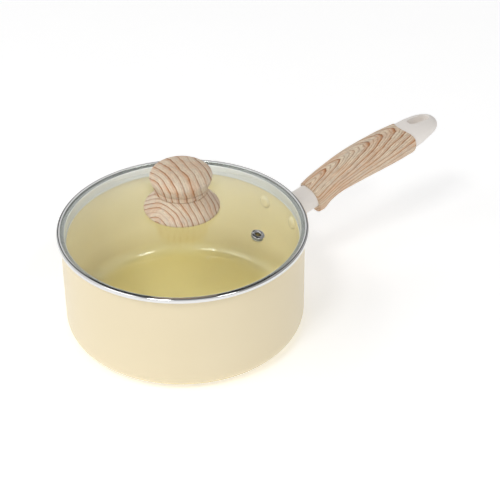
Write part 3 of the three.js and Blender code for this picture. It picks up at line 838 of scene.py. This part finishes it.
def slot_cutter():
    """An upright bar with round ends, longer than the tail is thick."""
    steps = 48
    middle = TAIL[1][1]
    rings = []
    for height in (-30, 30):
        ring = []
        for i in range(steps):
            angle = TAU * i / steps
            centre = SLOT_TO - SLOT_HALF if math.cos(angle) > 0 else SLOT_FROM + SLOT_HALF
            across = SLOT_HALF * math.sin(angle)
            ring.append((centre + SLOT_HALF * math.cos(angle), across, middle + height))
        rings.append(ring)
    rings.insert(0, centre_of([Vector(p) for p in rings[0]]))
    rings.append(centre_of([Vector(p) for p in rings[-1]]))
    return rings_to_mesh("slot_cutter", rings)


def handle_tail():
    """The hanging loop, cut, then remeshed and smoothed so that the slot's mouths are soft."""
    start = t_at_x(TAIL, 210.4)
    rings = [section(TAIL, start + (1 - start) * (1 - (1 - i / 40) ** 1.6)) for i in range(40)]
    tip = section(TAIL, 1)
    rings.append(tip)
    nose = centre_of(tip)[0] + Vector((1.1, 0, 0.05))
    rings.append([p + (nose - p) * 0.45 + Vector((0.25, 0, 0)) for p in tip])
    rings.append([nose])
    rings.insert(0, centre_of(rings[0]))
    piece = cut(rings_to_mesh("hanging_loop", rings), slot_cutter())
    remesh = piece.modifiers.new("even", "REMESH")
    remesh.mode = "VOXEL"
    remesh.voxel_size = LOOP_VOXEL * MM
    smooth = piece.modifiers.new("soften", "SMOOTH")
    smooth.factor = 0.6
    smooth.iterations = 14
    apply_modifiers(piece)
    for polygon in piece.data.polygons:
        polygon.use_smooth = True
    stands_for(piece, "handle_tail", "pan", "cream_resin", RESIN)


def handle_bracket():
    """The curved plate that the rivets hold, with its corners rounded and edges softened."""
    inside = PAN_R + GAP * 0.3
    rings = []
    for side, inset in ((0, 0.5), (0.12, 0.15), (0.4, 0), (1.6, 0), (1.88, 0.15), (2, 0.5)):
        rings.append((inside + side, inset))

    def plate_ring(radius, inset, share=1.0):
        ring = []
        for i in range(96):
            angle = TAU * i / 96
            c, s = math.cos(angle), math.sin(angle)
            y = math.copysign(abs(c) ** BRACKET_CORNERS, c) * (BRACKET_HALF_WIDTH - inset) * share
            z = math.copysign(abs(s) ** BRACKET_CORNERS, s) * (BRACKET_HALF_HEIGHT - inset) * share
            turn = y / radius
            ring.append(Vector((radius * math.cos(turn), radius * math.sin(turn), BRACKET_Z + z)))
        return ring

    shares = (0.25, 0.5, 0.75, 0.92)
    skin = [[Vector((rings[0][0], 0, BRACKET_Z))]]
    skin += [plate_ring(rings[0][0], 0.5, share) for share in shares]
    skin += [plate_ring(radius, inset) for radius, inset in rings]
    skin += [plate_ring(rings[-1][0], 0.5, share) for share in reversed(shares)]
    skin += [[Vector((rings[-1][0], 0, BRACKET_Z))]]
    piece = rings_to_mesh("bracket_plate", skin)
    stands_for(piece, "handle_bracket", "pan", "steel", STEEL)


# ---- Lid ----------------------------------------------------------------------------------


def vent_place():
    """Own Z at the vent, square to the dome's upper surface."""
    angle = math.radians(VENT_AZIMUTH)
    point = Vector((VENT_R * math.cos(angle), VENT_R * math.sin(angle), dome_z(VENT_R)))
    return along(point, (point.x, point.y, point.z - DOME_TOP + DOME_R))


def lid_glass():
    meet = math.sqrt(DOME_R ** 2 - (FLANGE_TOP - DOME_TOP + DOME_R) ** 2)
    upper = surface_line(dome_z, HOLE_R + 0.4, meet - 4, 44)
    lower = surface_line(hollow_z, HOLLOW_END_R - 4, HOLE_R + 0.4, 40)
    rim = rounded([
        upper[-1], (meet, FLANGE_TOP, 9), (GLASS_R, FLANGE_TOP, 0.8), (GLASS_R, FLANGE_LOW, 0.8),
        (HOLLOW_END_R, FLANGE_LOW, 9), lower[0],
    ], 8, closed=False)
    hole = [(HOLE_R, lower[-1][1] + 0.4), (HOLE_R, upper[0][1] - 0.4)]
    outline = upper[:-1] + [tuple(p) for p in rim] + lower[1:] + hole
    piece = lathe("glass_dome", outline)
    bore = [(0, -14), (GLASS_VENT_R, -14), (GLASS_VENT_R, 8), (0, 8)]
    drill = lathe("vent_drill", bore, SMALL_STEPS, vent_place())
    cut(piece, drill)
    for polygon in piece.data.polygons:
        polygon.use_smooth = True
    piece.data.set_sharp_from_angle(angle=math.radians(35))
    stands_for(piece, "lid_glass", "lid", "clear_glass", GLASS)


def lid_rim():
    half = SHEET / 2
    out = BAND_R - half
    high, low = BAND_TOP - half, BAND_LOW + half
    skirt = SKIRT_R - half
    hem = skirt - 0.9
    path = [
        (LIP_R, high - 0.28), (LIP_R + 1.3, high, 5), (out, high, 1.4), (out, low, 1.0),
        (skirt, low, 0.6), (skirt, SKIRT_BOTTOM + half, 0.4), (hem, SKIRT_BOTTOM + half, 0.4),
        (hem, SKIRT_BOTTOM + 1.4),
    ]
    piece = lathe("steel_band", [tuple(p) for p in ribbon(path, SHEET, 10)], 256)
    stands_for(piece, "lid_rim", "lid", "polished_steel", BAND)


def vent_pieces():
    lean = math.cos(math.asin(VENT_R / DOME_R))
    thick = (dome_z(VENT_R) - hollow_z(VENT_R)) * lean
    under = -thick - GAP - 1.2
    eyelet = rounded([
        (2.15, under - 0.3, 0.3), (2.15, 0.9, 1.2), (3.3, 1.5, 0.8), (5.1, 0.9, 0.7),
        (5.05, 0.05, 0.15), (2.95, 0.05), (2.95, under + 0.3, 0.2), (3.9, under + 0.3, 0.2),
        (3.9, under - 0.5, 0.3),
    ], 8)
    piece = lathe("eyelet", [tuple(p) for p in eyelet], SMALL_STEPS, vent_place())
    stands_for(piece, "vent_eyelet", "lid", "polished_steel", CHROME)
    top = -thick - 0.1
    ring = rounded([
        (3.1, top - 0.7, 0.15), (4.7, top - 0.7, 0.3), (4.7, top, 0.2), (3.1, top, 0.1),
    ], 5)
    piece = lathe("eyelet_washer", [tuple(p) for p in ring], SMALL_STEPS, vent_place())
    stands_for(piece, "vent_washer", "lid", "steel", STEEL)


# ---- Knob ---------------------------------------------------------------------------------


def knob_base():
    bottom = dome_z(KNOB_R) + 0.25
    seat = DOME_TOP + 1.6
    outline = rounded([
        (KNOB_BORE, seat, 0.3), (10, seat, 0.4), (11.5, WAIST_Z - 4, 1), (WAIST_R - 4, WAIST_Z - 4, 1),
        (KNOB_R - 4.5, bottom + 3, 1), (KNOB_R - 3, bottom, 0.4), (KNOB_R, bottom, 1.2),
        (KNOB_R - 0.9, bottom + 3, 4), (KNOB_R - 5.2, bottom + 7.4, 10),
        (WAIST_R + 0.4, bottom + 12.5, 12), (WAIST_R - 0.1, WAIST_Z, 1.3),
        (KNOB_BORE, WAIST_Z, 0.3),
    ], 10)
    piece = lathe("knob_collar", [tuple(p) for p in outline])
    stands_for(piece, "knob_base", "lid", "wood_finish", BASE_WOOD)


def knob_ball():
    bottom = WAIST_Z + 0.12
    rise = BALL_TOP_Z - BALL_MIDDLE_Z
    crown = []
    for i in range(33):
        angle = math.pi / 2 * i / 32
        height = BALL_MIDDLE_Z + rise * math.sin(angle) ** 0.95
        crown.append((BALL_R * math.cos(angle) ** 0.82, height))
    crown[-1] = (0, BALL_TOP_Z)
    lip = rounded([
        (4.8, bottom, 0.3), (WAIST_R, bottom, 1.1), (WAIST_R + 0.15, bottom + 3.2, 0.5),
        (WAIST_R - 0.7, bottom + 3.7, 0.2), (WAIST_R + 0.5, bottom + 4.3, 0.5),
        (WAIST_R + 2.2, bottom + 7.2, 6), crown[0],
    ], 8, closed=False)
    outline = [(0, WAIST_Z + 14), (4.8, WAIST_Z + 14)] + [tuple(p) for p in lip[:-1]] + crown
    piece = lathe("knob_top", outline, sharp=50)
    stands_for(piece, "knob_ball", "lid", "wood_finish", BALL_WOOD)


def ring_piece(name, node, inner, outer, slot, material):
    """A flat ring on the knob's axis, with softened edges, between the node's heights."""
    low, high = span(node)
    edge = min(0.35, (high.z - low.z) * 0.4)
    outline = rounded([
        (inner, low.z, edge), (outer, low.z, edge), (outer, high.z, edge), (inner, high.z, edge),
    ], 5)
    piece = lathe(name, [tuple(p) for p in outline], SMALL_STEPS)
    stands_for(piece, node, "lid", slot, material)


def knob_screw():
    """A domed screw head with a cross recess, and its shank."""
    low, high = span("knob_screw")
    head = low.z
    outline = rounded([
        (0, head), (3.4, head + 0.25, 3), (5, head + 1.5, 1), (5, head + 2.8, 0.3),
        (2.4, head + 2.8), (2.4, high.z - 1, 0.3), (1.8, high.z, 0.2), (0, high.z),
    ], 8, closed=False)
    piece = lathe("cross_head_screw", [tuple(p) for p in outline], SMALL_STEPS)
    corners = ((-1, -1), (1, -1), (1, 1), (-1, 1))
    for wide, deep in ((4.6, 1.0), (1.0, 4.6)):
        cutter = rings_to_mesh("recess", [
            [(0, 0, head - 1)],
            [(sx * wide / 2, sy * deep / 2, head - 1) for sx, sy in corners],
            [(sx * wide * 0.3, sy * deep * 0.4, head + 1.6) for sx, sy in corners],
            [(0, 0, head + 1.6)],
        ])
        cut(piece, cutter)
    for polygon in piece.data.polygons:
        polygon.use_smooth = True
    piece.data.set_sharp_from_angle(angle=math.radians(30))
    stands_for(piece, "knob_screw", "lid", "steel", STEEL)


def hidden_fixings():
    """Pieces closed in by others keep their CAD shape and get a real finish."""
    for node, material in (("tie_bolt", STEEL), ("bolt_washer", STEEL), ("knob_insert", BRASS)):
        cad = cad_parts[node]
        cad.data.materials.clear()
        cad.data.materials.append(material)


# ---- Surroundings -------------------------------------------------------------------------

AZIMUTH = math.radians(-32)
ELEVATION = math.radians(37.13)
DISTANCE = 1.26
LENS = 115.2
AIM_RIGHT = 0.04154
AIM_UP = 0.04013
ROLL = math.radians(-0.437)


def camera():
    """The camera, turned about the pan's axis, raised, rolled and aimed a little off the origin."""
    turn = Matrix.Rotation(AZIMUTH, 3, "Z")
    place = turn @ Vector((0, -DISTANCE * math.cos(ELEVATION), DISTANCE * math.sin(ELEVATION)))
    forward = -place.normalized()
    right = forward.cross(Vector((0, 0, 1))).normalized()
    up = right.cross(forward)
    forward = (forward + right * AIM_RIGHT + up * AIM_UP).normalized()
    right = forward.cross(Vector((0, 0, 1))).normalized()
    up = right.cross(forward)
    across = right * math.cos(ROLL) + up * math.sin(ROLL)
    upright = up * math.cos(ROLL) - right * math.sin(ROLL)
    data = bpy.data.cameras.new("camera")
    data.lens = LENS
    data.sensor_width = 36
    data.clip_end = 50
    view = bpy.data.objects.new("camera", data)
    basis = Matrix((across, upright, -forward)).transposed().to_4x4()
    view.matrix_world = Matrix.Translation(place) @ basis
    bpy.context.scene.collection.objects.link(view)
    bpy.context.scene.camera = view


def softbox(name, place, size, power, target=(0, 0, 0.06)):
    """A rectangular lamp at a place, facing the target."""
    data = bpy.data.lights.new(name, "AREA")
    data.shape = "RECTANGLE"
    data.size, data.size_y = size
    data.energy = power
    lamp = bpy.data.objects.new(name, data)
    turn = (Vector(place) - Vector(target)).to_track_quat("Z", "Y")
    lamp.matrix_world = Matrix.Translation(place) @ turn.to_matrix().to_4x4()
    bpy.context.scene.collection.objects.link(lamp)


def surroundings():
    """A white floor, soft boxes and a pale sky, with a dark panel beyond the pan for the chrome."""
    bm = bmesh.new()
    bmesh.ops.create_grid(bm, x_segments=4, y_segments=4, size=20)
    floor = finish_mesh("floor", bm)
    shader = Shader("white_floor")
    speck = shader.noise(shader.place(), 0.01, 2)
    shader.set(
        Base_Color=shader.mix(speck, (0.93, 0.93, 0.93), (0.91, 0.91, 0.91)),
        Roughness=shader.between(speck, 0.85, 0.95),
        Specular_IOR_Level=0.1,
        Emission_Color=(1, 1, 1, 1),
        Emission_Strength=0.34,
    )
    floor.data.materials.append(shader.material)

    world = bpy.data.worlds.new("studio")
    world.use_nodes = True
    sky = Sky(world)
    x, y, z = sky.split(sky.node("TexCoord"))
    levels = sky.ramp(z, [(place, (grey,) * 3) for place, grey in (
        (0.0, 1.0), (0.12, 1.0), (0.80, 1.0), (0.86, 0.06), (0.97, 0.06), (1.0, 0.4),
    )])
    right, onward = (math.cos(AZIMUTH), math.sin(AZIMUTH)), (-math.sin(AZIMUTH), math.cos(AZIMUTH))
    across = sky.math("MULTIPLY_ADD", x, right[0], sky.math("MULTIPLY", y, right[1]))
    beyond = sky.math("MULTIPLY_ADD", x, onward[0], sky.math("MULTIPLY", y, onward[1]))
    off_centre = sky.math("ABSOLUTE", across)
    sides = sky.node("MapRange", {0: off_centre, 1: 0.07, 2: 0.12, 3: 1.0, 4: 0.0})
    foot = sky.node("MapRange", {0: z, 1: 0.18, 2: 0.28, 3: 0.0, 4: 1.0})
    head = sky.node("MapRange", {0: z, 1: 0.6, 2: 0.64, 3: 1.0, 4: 0.0})
    panel = sky.math("MULTIPLY", sky.math("MULTIPLY", sides, foot), head)
    panel = sky.math("MULTIPLY", panel, sky.math("GREATER_THAN", beyond, 0.0))
    flag = sky.node("MapRange", {0: across, 1: 0.2, 2: 0.75, 3: 0.0, 4: 0.5})
    levels = sky.mix(flag, levels, (0.0, 0.0, 0.0))
    sky.feed(sky.surface.inputs["Color"], sky.mix(panel, levels, (0.02, 0.02, 0.02)))
    sky.surface.inputs["Strength"].default_value = 0.8
    bpy.context.scene.world = world
    bpy.context.scene.view_settings.view_transform = "Standard"

    softbox("key", (-1.1, -0.6, 2.0), (0.54, 0.4), 9.8)
    softbox("fill", (0.33, -1.31, 1.9), (0.5, 0.36), 5)
    softbox("strip", (-1.31, 0.33, 1.9), (1.0, 0.35), 3)
    softbox("side", (-1.5, 0.1, 1.1), (0.9, 0.9), 1.6)


# ---- Assembly -----------------------------------------------------------------------------

camera()
surroundings()

pan_body()
induction_plate()
handle_bracket()
rivets()
handle_neck()
handle_grip()
handle_tail()

lid_glass()
lid_rim()
vent_pieces()
knob_base()
knob_ball()
knob_screw()
ring_piece("upper_gasket", "knob_gasket_upper", KNOB_BORE, 10, "silicone", SILICONE)
ring_piece("lower_gasket", "knob_gasket_lower", KNOB_BORE, 9, "silicone", SILICONE)
ring_piece("knob_washer_ring", "knob_washer", KNOB_BORE, 9, "steel", STEEL)
hidden_fixings()
